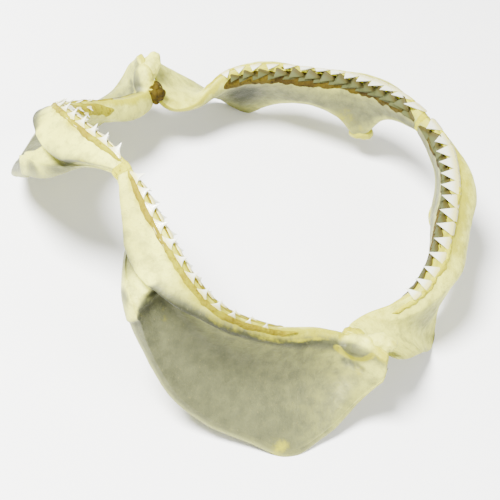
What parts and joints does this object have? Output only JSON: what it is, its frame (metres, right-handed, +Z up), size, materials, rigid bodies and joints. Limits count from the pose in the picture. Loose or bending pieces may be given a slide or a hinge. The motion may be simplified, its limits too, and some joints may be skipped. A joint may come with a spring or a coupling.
{
  "type": "dried shark jaws",
  "caption": "Dried jaws of a requiem shark, spread open, with broad triangular upper teeth and slender lower teeth, resting on the hind corners of the cartilages.",
  "frame": {"origin": "on the floor, under the middle of the whole part's box", "axes": "+Z up, +X to the animal's left, +Y from the jaw joints towards the seam of the upper jaw"},
  "size_m": [0.363, 0.343, 0.1513],
  "materials": {
    "cartilage": "dried cartilage, satin, cream with grey-green shadows",
    "gristle": "dried gum and seam gristle, yellow ochre",
    "tooth": "glossy white enamel",
    "tissue": "dried brown tissue in the grooves and joints"
  },
  "bodies": {
    "root": {"upper_seam": "gristle", "lower_seam": "gristle", "upper_jaw_left": "cartilage", "lower_jaw_left": "cartilage", "upper_jaw_right": "cartilage", "lower_jaw_right": "cartilage", "joint_capsule_left": "gristle", "joint_capsule_right": "gristle"}
  },
  "joints": []
}
